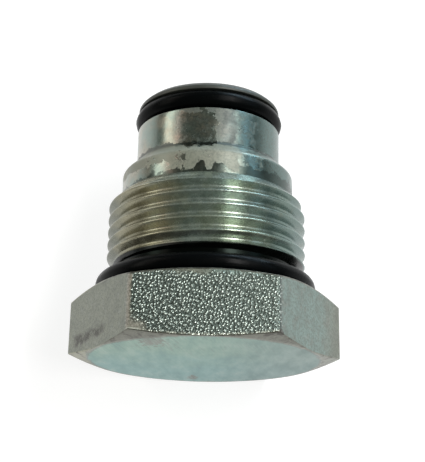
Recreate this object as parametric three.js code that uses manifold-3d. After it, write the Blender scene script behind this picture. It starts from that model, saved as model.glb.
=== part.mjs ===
// Screw-in check valve cartridge with a closed hex cap.
// Units are millimetres. The valve axis is +Y and the nose points along +Y.
// The origin is the centre of the hex end face, and +Z is the normal of one wrench flat.
import * as THREE from "three";
import { mergeVertices } from "three/addons/utils/BufferGeometryUtils.js";
import Module from "manifold-3d";

const wasm = await Module();
wasm.setup();

// ---- Driving dimensions: outside of the body ----
const ACROSS_FLATS = 38.1; // 1 1/2 inch wrench size
const HEAD_HEIGHT = 10.4;
const FACE_CHAMFER_RADIUS = 18.95; // where the corner chamfer meets the end face
const FACE_CHAMFER_SLOPE = 0.25;
const SEAT_CHAMFER_RADIUS = 18.45; // where the corner chamfer meets the seat face
const SEAT_CHAMFER_SLOPE = 0.32;
const THREAD_RADIUS = 16.4; // 1 5/16 inch thread, crest a little under nominal
const THREAD_PITCH = 25.4 / 12;
const THREAD_DEPTH = 1.2;
const THREAD_START_Y = 14.6; // end of the undercut that holds the head ring
const THREAD_RUN_OUT_SLOPE = 1.6; // rise of the thread from the undercut to its full height
const THREAD_CHAMFER_Y = 25.3;
const THREAD_END_Y = 27.2;
const CREST_Y = 23.4; // height of one thread crest on the +Z side
const UNDERCUT_RADIUS = 14.8;
const RING_SEAT_RADIUS = 18.12; // shallow recess in the seat face, under the head ring
const RING_SEAT_DEPTH = 0.1;
const COLLAR_RADIUS = 14.35;
const COLLAR_EDGE_Y = 30.95;
const COLLAR_EDGE_CHAMFER = 0.35;
const NOSE_RADIUS = 12.08;
const NOSE_START_Y = 33.0;
const RING_GROOVE_Y = [39.25, 42.65];
const RING_GROOVE_RADIUS = 9.55;
const TIP_Y = 44.1;
const TIP_CHAMFER_Y = 43.25;
const TIP_RADIUS = 11.1;

// ---- Driving dimensions: bore and working parts ----
const BORE_RADIUS = 8.2;
const BORE_FLOOR_Y = 17; // shoulder that the guide bush stands on
const CHAMBER_RADIUS = 6.4; // spring chamber
const CHAMBER_FLOOR_Y = 7.5;
const SNAP_GROOVE_Y = [42.15, 43.3];
const SNAP_GROOVE_RADIUS = 8.65;
const BORE_CHAMFER = 0.35;
const PRESS_GAP = 0.06;
const RUNNING_CLEARANCE = 0.05; // radial, between poppet and guide bush
const REST_GAP = 0.05; // between parts that rest on each other
const BUSH_INNER_RADIUS = 6.8;
const BUSH_CHAMFER = 0.4;
const WASHER_THICKNESS = 1.1;
const WASHER_NOTCH_RADIUS = 0.9;
const SNAP_RING_WIDTH = 1.35;
const SNAP_RING_HALF_GAP = 17; // degrees
const POPPET_REAR_Y = 22;
const POPPET_TIP_Y = 46.6;
const SKIRT_CHAMFER = 0.4;
const OIL_FLAT_DEPTH = 0.45;
const OIL_PATHS = 3; // flats on the skirt, and notches in the washer
const NECK_RADIUS = 5.95;
const CONE_LENGTH = 2.2; // 45 degree seat cone
const CONE_END_RADIUS = 3.75;
const CAVITY_RADIUS = 4.7; // inside of the poppet skirt
const CAVITY_FLOOR_Y = 35.8;
const POCKET_RADIUS = 2.6; // relief pocket in the poppet nose
const RELIEF_SEAT_Y = 37.5;
const RELIEF_HOLE_RADIUS = 1;
const BALL_RADIUS = 1.5;
const BALL_LIFT = 0.03; // the ball just clears its seat
const SOCKET_ACROSS_FLATS = 2;
const SHIM_THICKNESS = 0.3;
const SHIM_COUNT = 2;

// ---- Driving dimensions: seals and springs ----
const HEAD_RING_WIRE = 3;
const HEAD_RING_RADIUS = 18.03;
const NOSE_RING_WIRE = 2.95;
const NOSE_RING_RADIUS = 12.55;
const RETURN_SPRING = { wire: 1.2, radius: 3.75, turns: 9 };
const RELIEF_SPRING = { wire: 0.7, radius: 1.75, turns: 3 };

// ---- Smoothness ----
const BODY_SEGMENTS = 60;
const PART_SEGMENTS = 40;
const SMALL_SEGMENTS = 24;
const RING_SEGMENTS = 48;
const RING_SECTION_SEGMENTS = 12;
const COIL_STEPS_PER_TURN = 12;
const WIRE_SIDES = 6;
const HOLE_SEGMENTS = 12;
const BALL_SEGMENTS = 20;
const BALL_RINGS = 12;

const MATERIALS = {
  zinc: { color: 0x96a598, roughness: 0.35, metalness: 0.9 },
  rubber: { color: 0x0b0c0c, roughness: 0.5, metalness: 0 },
  steel: { color: 0x8e9090, roughness: 0.3, metalness: 1 },
  hard_steel: { color: 0xa9abad, roughness: 0.2, metalness: 1 },
  spring_steel: { color: 0x55585a, roughness: 0.35, metalness: 1 },
  bronze: { color: 0xa37b45, roughness: 0.4, metalness: 1 },
  mesh: { color: 0xb9b2a0, roughness: 0.5, metalness: 1 },
};

const valve = new THREE.Group();

function addPart(name, geometry, material) {
  const mesh = new THREE.Mesh(geometry, new THREE.MeshStandardMaterial(MATERIALS[material]));
  mesh.name = name;
  valve.add(mesh);
}

// ---- Solids: joining and cutting ----

// A closed three.js geometry as a solid, turned to face outwards if its profile ran the other way.
function solid(geometry) {
  const source = geometry.index ? geometry.toNonIndexed() : geometry.clone();
  source.deleteAttribute("normal");
  source.deleteAttribute("uv");
  const merged = mergeVertices(source, 1e-4);
  const positions = new Float32Array(merged.attributes.position.array);
  const triangles = withoutSlivers(merged.index.array);
  const made = fromArrays(positions, triangles);
  return made.volume() > 0 ? made : fromArrays(positions, triangles.reverse());
}

function fromArrays(vertProperties, triangles) {
  const triVerts = new Uint32Array(triangles);
  return new wasm.Manifold(new wasm.Mesh({ numProp: 3, vertProperties, triVerts }));
}

// A triangle that uses one vertex twice has no area, as on the axis of a turned part.
function withoutSlivers(index) {
  const kept = [];
  for (let i = 0; i < index.length; i += 3) {
    const [a, b, c] = index.slice(i, i + 3);
    if (a !== b && b !== c && c !== a) kept.push(a, b, c);
  }
  return kept;
}

function geometryOf(manifold) {
  const mesh = manifold.getMesh();
  const geometry = new THREE.BufferGeometry();
  geometry.setAttribute("position", new THREE.BufferAttribute(mesh.vertProperties, 3));
  geometry.setIndex(new THREE.BufferAttribute(mesh.triVerts, 1));
  return geometry;
}

// ---- Shapes ----

// A part turned about the Y axis from [radius, y] points. A part with a hole closes its outline.
function turned(outline, segments = PART_SEGMENTS) {
  const points = outline.map(([radius, y]) => new THREE.Vector2(radius, y));
  const startsOnAxis = outline[0][0] === 0;
  if (!startsOnAxis) points.push(points[0].clone());
  return solid(new THREE.LatheGeometry(points, segments));
}

// A flat ring or a tube between two radii.
function tube(inner, outer, y0, y1, segments = PART_SEGMENTS) {
  return turned([[inner, y0], [outer, y0], [outer, y1], [inner, y1]], segments);
}

function disc(radius, y0, y1, segments = PART_SEGMENTS) {
  return turned([[0, y0], [radius, y0], [radius, y1], [0, y1]], segments);
}

// An O-ring with its outer radius, wire diameter and middle height.
function sealRing(outerRadius, wire, y) {
  const section = [];
  for (let i = 0; i < RING_SECTION_SEGMENTS; i++) {
    const angle = (i / RING_SECTION_SEGMENTS) * 2 * Math.PI;
    section.push([
      outerRadius - wire / 2 + (wire / 2) * Math.cos(angle),
      y + (wire / 2) * Math.sin(angle),
    ]);
  }
  return turned(section, RING_SEGMENTS);
}

// A flat outline, drawn in X and Z, made thick along Y.
function plate(shape, y0, y1, curveSegments = PART_SEGMENTS) {
  const geometry = new THREE.ExtrudeGeometry(shape, {
    depth: y1 - y0,
    bevelEnabled: false,
    curveSegments,
  });
  geometry.rotateX(-Math.PI / 2);
  geometry.translate(0, y0, 0);
  return solid(geometry);
}

function polygon(cornerRadius, sides) {
  const shape = new THREE.Shape();
  for (let i = 0; i < sides; i++) {
    const angle = (i / sides) * 2 * Math.PI;
    const corner = [cornerRadius * Math.cos(angle), cornerRadius * Math.sin(angle)];
    if (i === 0) shape.moveTo(...corner);
    else shape.lineTo(...corner);
  }
  return shape;
}

// A regular hexagon in X and Z with one flat facing +Z.
function hexagon(acrossFlats) {
  return polygon(acrossFlats / Math.sqrt(3), 6);
}

// A round hole parallel to the axis, to cut from a part.
function drill(radius, x, z, y0, y1) {
  const hole = new THREE.CylinderGeometry(radius, radius, y1 - y0, HOLE_SEGMENTS);
  hole.translate(x, (y0 + y1) / 2, z);
  return solid(hole);
}

class Helix extends THREE.Curve {
  constructor(radius, y0, y1, turns) {
    super();
    Object.assign(this, { radius, y0, y1, turns });
  }
  getPoint(t, target = new THREE.Vector3()) {
    const angle = t * this.turns * 2 * Math.PI;
    const y = this.y0 + (this.y1 - this.y0) * t;
    return target.set(this.radius * Math.sin(angle), y, this.radius * Math.cos(angle));
  }
}

// A coil spring that just fits between two heights.
function coilSpring({ wire, radius, turns }, y0, y1) {
  const section = polygon(wire / 2, WIRE_SIDES);
  const path = new Helix(radius, y0 + wire / 2, y1 - wire / 2, turns);
  return new THREE.ExtrudeGeometry(section, {
    steps: turns * COIL_STEPS_PER_TURN,
    extrudePath: path,
    bevelEnabled: false,
  });
}

// ---- The body ----

// One pitch of the thread as [offset, radius]: a 60 degree V with flat crest and root.
const CREST_HALF_WIDTH = THREAD_PITCH / 12;
const FLANK_WIDTH = THREAD_DEPTH * Math.tan(Math.PI / 6);
const THREAD_STEPS = [
  [-CREST_HALF_WIDTH, THREAD_RADIUS],
  [CREST_HALF_WIDTH, THREAD_RADIUS],
  [CREST_HALF_WIDTH + FLANK_WIDTH, THREAD_RADIUS - THREAD_DEPTH],
  [THREAD_PITCH - CREST_HALF_WIDTH - FLANK_WIDTH, THREAD_RADIUS - THREAD_DEPTH],
];

// The lead-in chamfer and the run-out at the undercut cap the thread's height.
function threadLimit(y) {
  const leadSlope = (THREAD_RADIUS - COLLAR_RADIUS) / (THREAD_END_Y - THREAD_CHAMFER_Y);
  const chamfer = COLLAR_RADIUS + (THREAD_END_Y - y) * leadSlope;
  const runOut = UNDERCUT_RADIUS + (y - THREAD_START_Y) * THREAD_RUN_OUT_SLOPE;
  return Math.min(chamfer, runOut);
}

// Rows of points follow the helix round the shank. Rows past an end lie on that end's circle.
function threadedShank() {
  const rows = [];
  const firstTurn = Math.floor((THREAD_START_Y - CREST_Y) / THREAD_PITCH) - 2;
  const lastTurn = Math.ceil((THREAD_END_Y - CREST_Y) / THREAD_PITCH) + 1;
  for (let turn = firstTurn; turn <= lastTurn; turn++)
    for (const [offset, radius] of THREAD_STEPS)
      rows.push({ y: CREST_Y + turn * THREAD_PITCH + offset, radius });

  const positions = [];
  const ringAt = (row) =>
    Array.from({ length: BODY_SEGMENTS + 1 }, (_, j) => {
      const share = j / BODY_SEGMENTS;
      const y = THREE.MathUtils.clamp(row.y + share * THREAD_PITCH, THREAD_START_Y, THREAD_END_Y);
      const radius = Math.min(row.radius, threadLimit(y));
      const angle = (j % BODY_SEGMENTS) * ((2 * Math.PI) / BODY_SEGMENTS);
      return [radius * Math.sin(angle), y, radius * Math.cos(angle)];
    });
  const rings = rows.map(ringAt);
  const centre = (y) => Array(BODY_SEGMENTS + 1).fill([0, y, 0]);
  rings.unshift(centre(THREAD_START_Y));
  rings.push(centre(THREAD_END_Y));
  for (let i = 0; i + 1 < rings.length; i++)
    for (let j = 0; j < BODY_SEGMENTS; j++) {
      const [a, b] = [rings[i][j], rings[i][j + 1]];
      const [c, d] = [rings[i + 1][j], rings[i + 1][j + 1]];
      positions.push(...a, ...b, ...d, ...a, ...d, ...c);
    }
  const geometry = new THREE.BufferGeometry();
  geometry.setAttribute("position", new THREE.Float32BufferAttribute(positions, 3));
  return solid(geometry);
}

function hexHead() {
  const corner = ACROSS_FLATS / Math.sqrt(3) + 0.5; // past the hexagon's corners
  const prism = plate(hexagon(ACROSS_FLATS), 0, HEAD_HEIGHT);
  const chamfers = turned(
    [
      [0, 0],
      [FACE_CHAMFER_RADIUS, 0],
      [corner, (corner - FACE_CHAMFER_RADIUS) * FACE_CHAMFER_SLOPE],
      [corner, HEAD_HEIGHT - (corner - SEAT_CHAMFER_RADIUS) * SEAT_CHAMFER_SLOPE],
      [SEAT_CHAMFER_RADIUS, HEAD_HEIGHT],
      [0, HEAD_HEIGHT],
    ],
    BODY_SEGMENTS,
  );
  const ringSeat = disc(RING_SEAT_RADIUS, HEAD_HEIGHT - RING_SEAT_DEPTH, HEAD_HEIGHT + 1, BODY_SEGMENTS);
  return prism.intersect(chamfers).subtract(ringSeat);
}

// Everything on the nose side of the thread, and the undercut under the head.
function plainShank() {
  const undercut = disc(UNDERCUT_RADIUS, HEAD_HEIGHT - 1, THREAD_START_Y, BODY_SEGMENTS);
  const nose = turned(
    [
      [0, THREAD_END_Y],
      [COLLAR_RADIUS, THREAD_END_Y],
      [COLLAR_RADIUS, COLLAR_EDGE_Y - COLLAR_EDGE_CHAMFER],
      [COLLAR_RADIUS - COLLAR_EDGE_CHAMFER / 2, COLLAR_EDGE_Y],
      [NOSE_RADIUS, NOSE_START_Y],
      [NOSE_RADIUS, RING_GROOVE_Y[0]],
      [RING_GROOVE_RADIUS, RING_GROOVE_Y[0]],
      [RING_GROOVE_RADIUS, RING_GROOVE_Y[1]],
      [NOSE_RADIUS, RING_GROOVE_Y[1]],
      [NOSE_RADIUS, TIP_CHAMFER_Y],
      [TIP_RADIUS, TIP_Y],
      [0, TIP_Y],
    ],
    BODY_SEGMENTS,
  );
  return undercut.add(nose);
}

// The blind bore: spring chamber, guide bush bore, snap ring groove and mouth chamfer.
function bodyBore() {
  const above = 0.1; // past the tip face
  return turned([
    [0, CHAMBER_FLOOR_Y],
    [CHAMBER_RADIUS - BORE_CHAMFER, CHAMBER_FLOOR_Y],
    [CHAMBER_RADIUS, CHAMBER_FLOOR_Y + BORE_CHAMFER],
    [CHAMBER_RADIUS, BORE_FLOOR_Y],
    [BORE_RADIUS, BORE_FLOOR_Y],
    [BORE_RADIUS, SNAP_GROOVE_Y[0]],
    [SNAP_GROOVE_RADIUS, SNAP_GROOVE_Y[0]],
    [SNAP_GROOVE_RADIUS, SNAP_GROOVE_Y[1]],
    [BORE_RADIUS, SNAP_GROOVE_Y[1]],
    [BORE_RADIUS, TIP_Y - BORE_CHAMFER],
    [BORE_RADIUS + BORE_CHAMFER + above, TIP_Y + above],
    [0, TIP_Y + above],
  ]);
}

function addBody() {
  const outside = hexHead().add(plainShank()).add(threadedShank());
  addPart("valve_body", geometryOf(outside.subtract(bodyBore())), "zinc");
}

function addSeals() {
  const headRingY = HEAD_HEIGHT - RING_SEAT_DEPTH + HEAD_RING_WIRE / 2 + REST_GAP;
  const noseRingY = (RING_GROOVE_Y[0] + RING_GROOVE_Y[1]) / 2;
  addPart("head_o_ring", geometryOf(sealRing(HEAD_RING_RADIUS, HEAD_RING_WIRE, headRingY)), "rubber");
  addPart("nose_o_ring", geometryOf(sealRing(NOSE_RING_RADIUS, NOSE_RING_WIRE, noseRingY)), "rubber");
}

// ---- Bush, washer and snap ring in the bore ----

const BUSH_END_Y = SNAP_GROOVE_Y[0] - WASHER_THICKNESS - 2 * REST_GAP;

function addGuideBush() {
  const outer = BORE_RADIUS - PRESS_GAP;
  const startY = BORE_FLOOR_Y + REST_GAP;
  const bush = turned([
    [BUSH_INNER_RADIUS, startY],
    [outer - BUSH_CHAMFER, startY],
    [outer, startY + BUSH_CHAMFER],
    [outer, BUSH_END_Y],
    [BUSH_INNER_RADIUS + BUSH_CHAMFER, BUSH_END_Y],
    [BUSH_INNER_RADIUS, BUSH_END_Y - BUSH_CHAMFER],
  ]);
  addPart("guide_bush", geometryOf(bush), "bronze");
}

// The washer stops the poppet. Three notches in its bore let oil past the neck.
function addStopWasher() {
  const y0 = BUSH_END_Y + REST_GAP;
  const y1 = y0 + WASHER_THICKNESS;
  const inner = NECK_RADIUS + 2 * RUNNING_CLEARANCE;
  let washer = tube(inner, BORE_RADIUS - PRESS_GAP, y0, y1);
  for (let i = 0; i < OIL_PATHS; i++) {
    const angle = (i / OIL_PATHS) * 2 * Math.PI;
    const [x, z] = [inner * Math.sin(angle), inner * Math.cos(angle)];
    washer = washer.subtract(drill(WASHER_NOTCH_RADIUS, x, z, y0 - 1, y1 + 1));
  }
  addPart("stop_washer", geometryOf(washer), "steel");
}

// An open ring of flat wire that springs out into the groove at the mouth of the bore.
function addSnapRing() {
  const outer = SNAP_GROOVE_RADIUS - REST_GAP;
  const inner = outer - SNAP_RING_WIDTH;
  const halfGap = THREE.MathUtils.degToRad(SNAP_RING_HALF_GAP);
  const shape = new THREE.Shape();
  shape.absarc(0, 0, outer, halfGap, 2 * Math.PI - halfGap, false);
  shape.absarc(0, 0, inner, 2 * Math.PI - halfGap, halfGap, true);
  const ring = plate(shape, SNAP_GROOVE_Y[0] + REST_GAP, SNAP_GROOVE_Y[1] - REST_GAP, SMALL_SEGMENTS);
  addPart("snap_ring", geometryOf(ring), "spring_steel");
}

// ---- Shims, spring seat and return spring behind the poppet ----

const SPRING_SEAT_Y = CHAMBER_FLOOR_Y + SHIM_COUNT * (SHIM_THICKNESS + REST_GAP) + REST_GAP;
const SPRING_SEAT_FLANGE = 1.4;
const SCREEN_THICKNESS = 0.4;
const SCREEN_Y = CAVITY_FLOOR_Y - REST_GAP - SCREEN_THICKNESS;
const THRUST_THICKNESS = 0.8;
const THRUST_Y = SCREEN_Y - REST_GAP - THRUST_THICKNESS;

function addPreloadShims() {
  const inner = 2;
  const outer = CHAMBER_RADIUS - 0.6;
  for (let i = 0; i < SHIM_COUNT; i++) {
    const y = CHAMBER_FLOOR_Y + REST_GAP + i * (SHIM_THICKNESS + REST_GAP);
    const shim = tube(inner, outer, y, y + SHIM_THICKNESS, SMALL_SEGMENTS);
    addPart(`preload_shim_${i + 1}`, geometryOf(shim), "steel");
  }
}

function addSpringSeat() {
  const flangeRadius = CHAMBER_RADIUS - 0.3;
  const flangeTop = SPRING_SEAT_Y + SPRING_SEAT_FLANGE;
  const pilotRadius = RETURN_SPRING.radius - RETURN_SPRING.wire / 2 - 0.25;
  const pilotEndRadius = pilotRadius - 0.6;
  const pilotTop = flangeTop + 4.5;
  const pilotTaper = 1;
  const seat = turned(
    [
      [0, SPRING_SEAT_Y],
      [flangeRadius, SPRING_SEAT_Y],
      [flangeRadius, flangeTop],
      [pilotRadius, flangeTop],
      [pilotRadius, pilotTop - pilotTaper],
      [pilotEndRadius, pilotTop],
      [0, pilotTop],
    ],
    SMALL_SEGMENTS,
  );
  addPart("spring_seat", geometryOf(seat), "steel");
}

function addReturnSpring() {
  const y0 = SPRING_SEAT_Y + SPRING_SEAT_FLANGE + REST_GAP;
  addPart("return_spring", coilSpring(RETURN_SPRING, y0, THRUST_Y - REST_GAP), "spring_steel");
}

// ---- The poppet and what it carries ----

function addPoppet() {
  const skirtRadius = BUSH_INNER_RADIUS - RUNNING_CLEARANCE;
  const shoulderLength = 0.5;
  const tipEdge = 0.1; // small chamfer round the tip
  const coneEndY = POPPET_TIP_Y - tipEdge;
  const outside = turned([
    [0, POPPET_REAR_Y],
    [skirtRadius - SKIRT_CHAMFER, POPPET_REAR_Y],
    [skirtRadius, POPPET_REAR_Y + SKIRT_CHAMFER],
    [skirtRadius, BUSH_END_Y - shoulderLength],
    [skirtRadius - SKIRT_CHAMFER, BUSH_END_Y],
    [NECK_RADIUS, BUSH_END_Y],
    [NECK_RADIUS, coneEndY - CONE_LENGTH],
    [CONE_END_RADIUS, coneEndY],
    [CONE_END_RADIUS - tipEdge, POPPET_TIP_Y],
    [0, POPPET_TIP_Y],
  ]);
  const inside = turned([
    [0, POPPET_REAR_Y - 1],
    [CAVITY_RADIUS, POPPET_REAR_Y - 1],
    [CAVITY_RADIUS, CAVITY_FLOOR_Y],
    [RELIEF_HOLE_RADIUS, CAVITY_FLOOR_Y],
    [RELIEF_HOLE_RADIUS, RELIEF_SEAT_Y],
    [POCKET_RADIUS, RELIEF_SEAT_Y],
    [POCKET_RADIUS, POPPET_TIP_Y + 1],
    [0, POPPET_TIP_Y + 1],
  ]);
  addPart("poppet", geometryOf(cutOilFlats(outside.subtract(inside), skirtRadius)), "hard_steel");
}

// Flats along the skirt let oil flow between the spring chamber and the nose.
function cutOilFlats(poppet, skirtRadius) {
  const length = BUSH_END_Y - POPPET_REAR_Y + 1;
  const thickness = 2;
  for (let i = 0; i < OIL_PATHS; i++) {
    const cutter = new THREE.BoxGeometry(2 * skirtRadius, length, thickness);
    cutter.translate(0, BUSH_END_Y - length / 2, skirtRadius - OIL_FLAT_DEPTH + thickness / 2);
    cutter.rotateY((i / OIL_PATHS) * 2 * Math.PI);
    poppet = poppet.subtract(solid(cutter));
  }
  return poppet;
}

// A strainer disc with one hole in the middle and six round it, and the thrust washer that the
// return spring presses on.
function addStrainer() {
  const radius = CAVITY_RADIUS - 0.12;
  const holeRadius = 0.42;
  const holeCircle = 1.35;
  const outerHoles = 6;
  let screen = disc(radius, SCREEN_Y, SCREEN_Y + SCREEN_THICKNESS, SMALL_SEGMENTS);
  screen = screen.subtract(drill(holeRadius, 0, 0, SCREEN_Y - 1, SCREEN_Y + 1));
  for (let i = 0; i < outerHoles; i++) {
    const angle = (i / outerHoles) * 2 * Math.PI;
    const [x, z] = [holeCircle * Math.sin(angle), holeCircle * Math.cos(angle)];
    screen = screen.subtract(drill(holeRadius, x, z, SCREEN_Y - 1, SCREEN_Y + 1));
  }
  addPart("strainer_disc", geometryOf(screen), "mesh");
  const washerInner = 2.5;
  const washer = tube(washerInner, radius, THRUST_Y, THRUST_Y + THRUST_THICKNESS, SMALL_SEGMENTS);
  addPart("thrust_washer", geometryOf(washer), "steel");
}

// ---- The thermal relief valve inside the poppet nose ----

const BALL_Y = RELIEF_SEAT_Y + Math.sqrt(BALL_RADIUS ** 2 - RELIEF_HOLE_RADIUS ** 2) + BALL_LIFT;
const GUIDE_Y = BALL_Y + BALL_RADIUS - 0.25;
const GUIDE_FLANGE = 1.15;
const CAP_Y = [44.95, 46.35];
const RELIEF_SHIM_Y = CAP_Y[0] - REST_GAP - SHIM_THICKNESS;

function addReliefBall() {
  const sphere = new THREE.SphereGeometry(BALL_RADIUS, BALL_SEGMENTS, BALL_RINGS);
  sphere.translate(0, BALL_Y, 0);
  addPart("relief_ball", geometryOf(solid(sphere)), "hard_steel");
}

// The guide holds the ball in a conical recess and centres the spring on its stem.
function addBallGuide() {
  const flangeRadius = POCKET_RADIUS - 0.15;
  const flangeTop = GUIDE_Y + GUIDE_FLANGE;
  const stemRadius = 0.9;
  const stemTop = flangeTop + 2;
  const recessRadius = 1.1;
  const recessDepth = 0.4;
  const guide = turned(
    [
      [0, GUIDE_Y + recessDepth],
      [recessRadius, GUIDE_Y],
      [flangeRadius, GUIDE_Y],
      [flangeRadius, flangeTop],
      [stemRadius, flangeTop],
      [stemRadius, stemTop],
      [0, stemTop],
    ],
    SMALL_SEGMENTS,
  );
  addPart("ball_guide", geometryOf(guide), "steel");
}

function addReliefSpring() {
  const y0 = GUIDE_Y + GUIDE_FLANGE + REST_GAP;
  const spring = coilSpring(RELIEF_SPRING, y0, RELIEF_SHIM_Y - REST_GAP);
  addPart("relief_spring", spring, "spring_steel");
}

// The setting shim and the cap screw, with a hexagon socket right through it as the outlet.
function addReliefCap() {
  const shimInner = 1;
  const shimOuter = POCKET_RADIUS - 0.2;
  const shimTop = RELIEF_SHIM_Y + SHIM_THICKNESS;
  const shim = tube(shimInner, shimOuter, RELIEF_SHIM_Y, shimTop, SMALL_SEGMENTS);
  addPart("relief_shim", geometryOf(shim), "steel");
  const socket = plate(hexagon(SOCKET_ACROSS_FLATS), CAP_Y[0] - 1, CAP_Y[1] + 1);
  const cap = disc(POCKET_RADIUS - PRESS_GAP, ...CAP_Y).subtract(socket);
  addPart("relief_cap", geometryOf(cap), "spring_steel");
}

addBody();
addSeals();
addGuideBush();
addStopWasher();
addSnapRing();
addPreloadShims();
addSpringSeat();
addReturnSpring();
addPoppet();
addStrainer();
addReliefBall();
addBallGuide();
addReliefSpring();
addReliefCap();

export default valve;
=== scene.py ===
import math

import bmesh
import bpy
import numpy as np
from mathutils import Matrix, Vector


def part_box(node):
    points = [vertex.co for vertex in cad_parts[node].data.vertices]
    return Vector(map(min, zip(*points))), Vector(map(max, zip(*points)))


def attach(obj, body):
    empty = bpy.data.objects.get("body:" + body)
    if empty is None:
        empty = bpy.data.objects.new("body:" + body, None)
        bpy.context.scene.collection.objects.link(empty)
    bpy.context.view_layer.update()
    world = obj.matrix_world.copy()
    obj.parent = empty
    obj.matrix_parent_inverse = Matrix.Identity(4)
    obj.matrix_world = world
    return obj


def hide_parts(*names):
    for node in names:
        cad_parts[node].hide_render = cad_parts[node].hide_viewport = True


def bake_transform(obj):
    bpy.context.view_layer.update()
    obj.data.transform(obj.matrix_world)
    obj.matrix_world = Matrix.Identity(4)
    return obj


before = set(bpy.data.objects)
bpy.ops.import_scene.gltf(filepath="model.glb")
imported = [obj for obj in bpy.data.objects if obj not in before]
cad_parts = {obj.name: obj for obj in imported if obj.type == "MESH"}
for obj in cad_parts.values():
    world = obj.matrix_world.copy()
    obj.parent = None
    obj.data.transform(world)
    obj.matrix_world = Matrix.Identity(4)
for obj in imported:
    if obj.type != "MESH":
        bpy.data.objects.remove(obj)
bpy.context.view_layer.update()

# The valve axis is +Y, the nose points along +Y, and +Z is the normal of one wrench flat.
# Sizes are in millimetres, and MM turns them into the frame's metres.
MM = 0.001
TURN = 2 * math.pi

# ---- Sizes that come from the frame ----
body_low, body_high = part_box("valve_body")
ACROSS_FLATS = (body_high.z - body_low.z) / MM
TIP_Y = body_high.y / MM
FLOOR_Z = body_low.z

# ---- Sizes of the body ----
HEAD_HEIGHT = 10.4
FACE_CHAMFER_RADIUS = 18.95
FACE_CHAMFER_SLOPE = 0.25
SEAT_CHAMFER_RADIUS = 18.45
SEAT_CHAMFER_SLOPE = 0.32
HEX_EDGE_RADIUS = 0.35
HEX_CORNER_RADIUS = ACROSS_FLATS / math.sqrt(3)
UNDERCUT_RADIUS = 14.8
RING_SEAT_RADIUS = 18.12
RING_SEAT_DEPTH = 0.1
THREAD_RADIUS = 16.4
THREAD_DEPTH = 1.2
THREAD_PITCH = 25.4 / 12
THREAD_START_Y = 14.6
THREAD_CHAMFER_Y = 25.3
THREAD_END_Y = 27.2
THREAD_RUN_OUT_SLOPE = 1.6
CREST_Y = 23.4
CREST_ROUND = 0.22
ROOT_ROUND = 0.36
COLLAR_RADIUS = 14.35
COLLAR_EDGE_Y = 30.95
NOSE_RADIUS = 12.08
NOSE_START_Y = 33.0
RING_GROOVE_Y = (39.25, 42.65)
RING_GROOVE_RADIUS = 9.55
TIP_CHAMFER_Y = 43.25
TIP_RADIUS = 11.1
HEAD_RING_WIRE = 3.0
NOSE_RING_WIRE = 2.95
NOSE_RING_FORWARD = 0.18
MOULD_LINE = 0.04
MARKS_RADIUS = 14

# ---- Sizes of the bore and the working parts ----
BORE_RADIUS = 8.2
BORE_FLOOR_Y = 17
CHAMBER_RADIUS = 6.4
CHAMBER_FLOOR_Y = 7.5
SNAP_GROOVE_Y = (42.15, 43.3)
SNAP_GROOVE_RADIUS = 8.65
SNAP_RING_WIDTH = 1.35
PRESS_GAP = 0.06
RUNNING_CLEARANCE = 0.05
REST_GAP = 0.05
BUSH_INNER_RADIUS = 6.8
WASHER_THICKNESS = 1.1
BUSH_END_Y = SNAP_GROOVE_Y[0] - WASHER_THICKNESS - 2 * REST_GAP
WASHER_Y = BUSH_END_Y + REST_GAP
POPPET_REAR_Y = 22
POPPET_TIP_Y = 46.6
SKIRT_RADIUS = BUSH_INNER_RADIUS - RUNNING_CLEARANCE
OIL_FLAT_DEPTH = 0.45
NECK_RADIUS = 5.95
CONE_START_Y = POPPET_TIP_Y - 2.3
CONE_END_RADIUS = 3.75
CAVITY_RADIUS = 4.7
CAVITY_FLOOR_Y = 35.8
POCKET_RADIUS = 2.6
RELIEF_SEAT_Y = 37.5
RELIEF_HOLE_RADIUS = 1
SOCKET_ACROSS_FLATS = 2
BALL_RADIUS = 1.5
GUIDE_THICKNESS = 1.15
GUIDE_PIN_RADIUS = 0.9
GUIDE_PIN_HEIGHT = 2
CAP_Y = (POPPET_TIP_Y - 1.65, POPPET_TIP_Y - 0.25)
SHIM_THICKNESS = 0.3
SPRING_SEAT_Y = CHAMBER_FLOOR_Y + 2 * (SHIM_THICKNESS + REST_GAP) + REST_GAP
SPRING_SEAT_TOP = SPRING_SEAT_Y + 1.4
PILOT_HEIGHT = 4.5
SCREEN_THICKNESS = 0.4
THRUST_THICKNESS = 0.8
THRUST_Y = CAVITY_FLOOR_Y - SCREEN_THICKNESS - THRUST_THICKNESS - 2 * REST_GAP
RETURN_SPRING = {"wire": 1.2, "radius": 3.75, "turns": 9}
RELIEF_SPRING = {"wire": 0.7, "radius": 1.75, "turns": 3}

# ---- Fineness of the meshes ----
HEAD_COLUMNS = 480
SHANK_COLUMNS = 240
PART_COLUMNS = 120
FINE_PART_COLUMNS = 360
CAP_COLUMNS = 240
SNAP_RING_STEPS = 180
BALL_STEPS = 32
SEAL_STEPS = 36
FLAT_ROWS = 46
CORNER_STEPS = (0, 0.3, 0.5, 0.7, 1)

# ---- Colours ----
ZINC = (0.24, 0.29, 0.26)
ZINC_WARM = (0.31, 0.30, 0.25)
ZINC_DULL = (0.11, 0.135, 0.12)
# Painted reflection: a bluish tint for the right side of the shank and the thread.
BLUE_REFLECTION = (0.112, 0.172, 0.166)
# Painted reflection: a warm tint for the left side of the thread.
WARM_REFLECTION = (0.3, 0.275, 0.19)
ZINC_OLIVE = (0.245, 0.285, 0.225)
ZINC_SHADE = (0.15, 0.165, 0.135)
ZINC_CLOUD = (0.20, 0.22, 0.17)
SPECK = (0.7, 0.7, 0.62)
FILM = (0.07, 0.083, 0.073)
FILM_DULL = (0.05, 0.06, 0.052)
FILM_PALE = (0.225, 0.235, 0.187)
FILM_BLOT = (0.03, 0.04, 0.038)
LAND = (0.033, 0.035, 0.029)
STAIN = (0.03, 0.042, 0.036)
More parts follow.
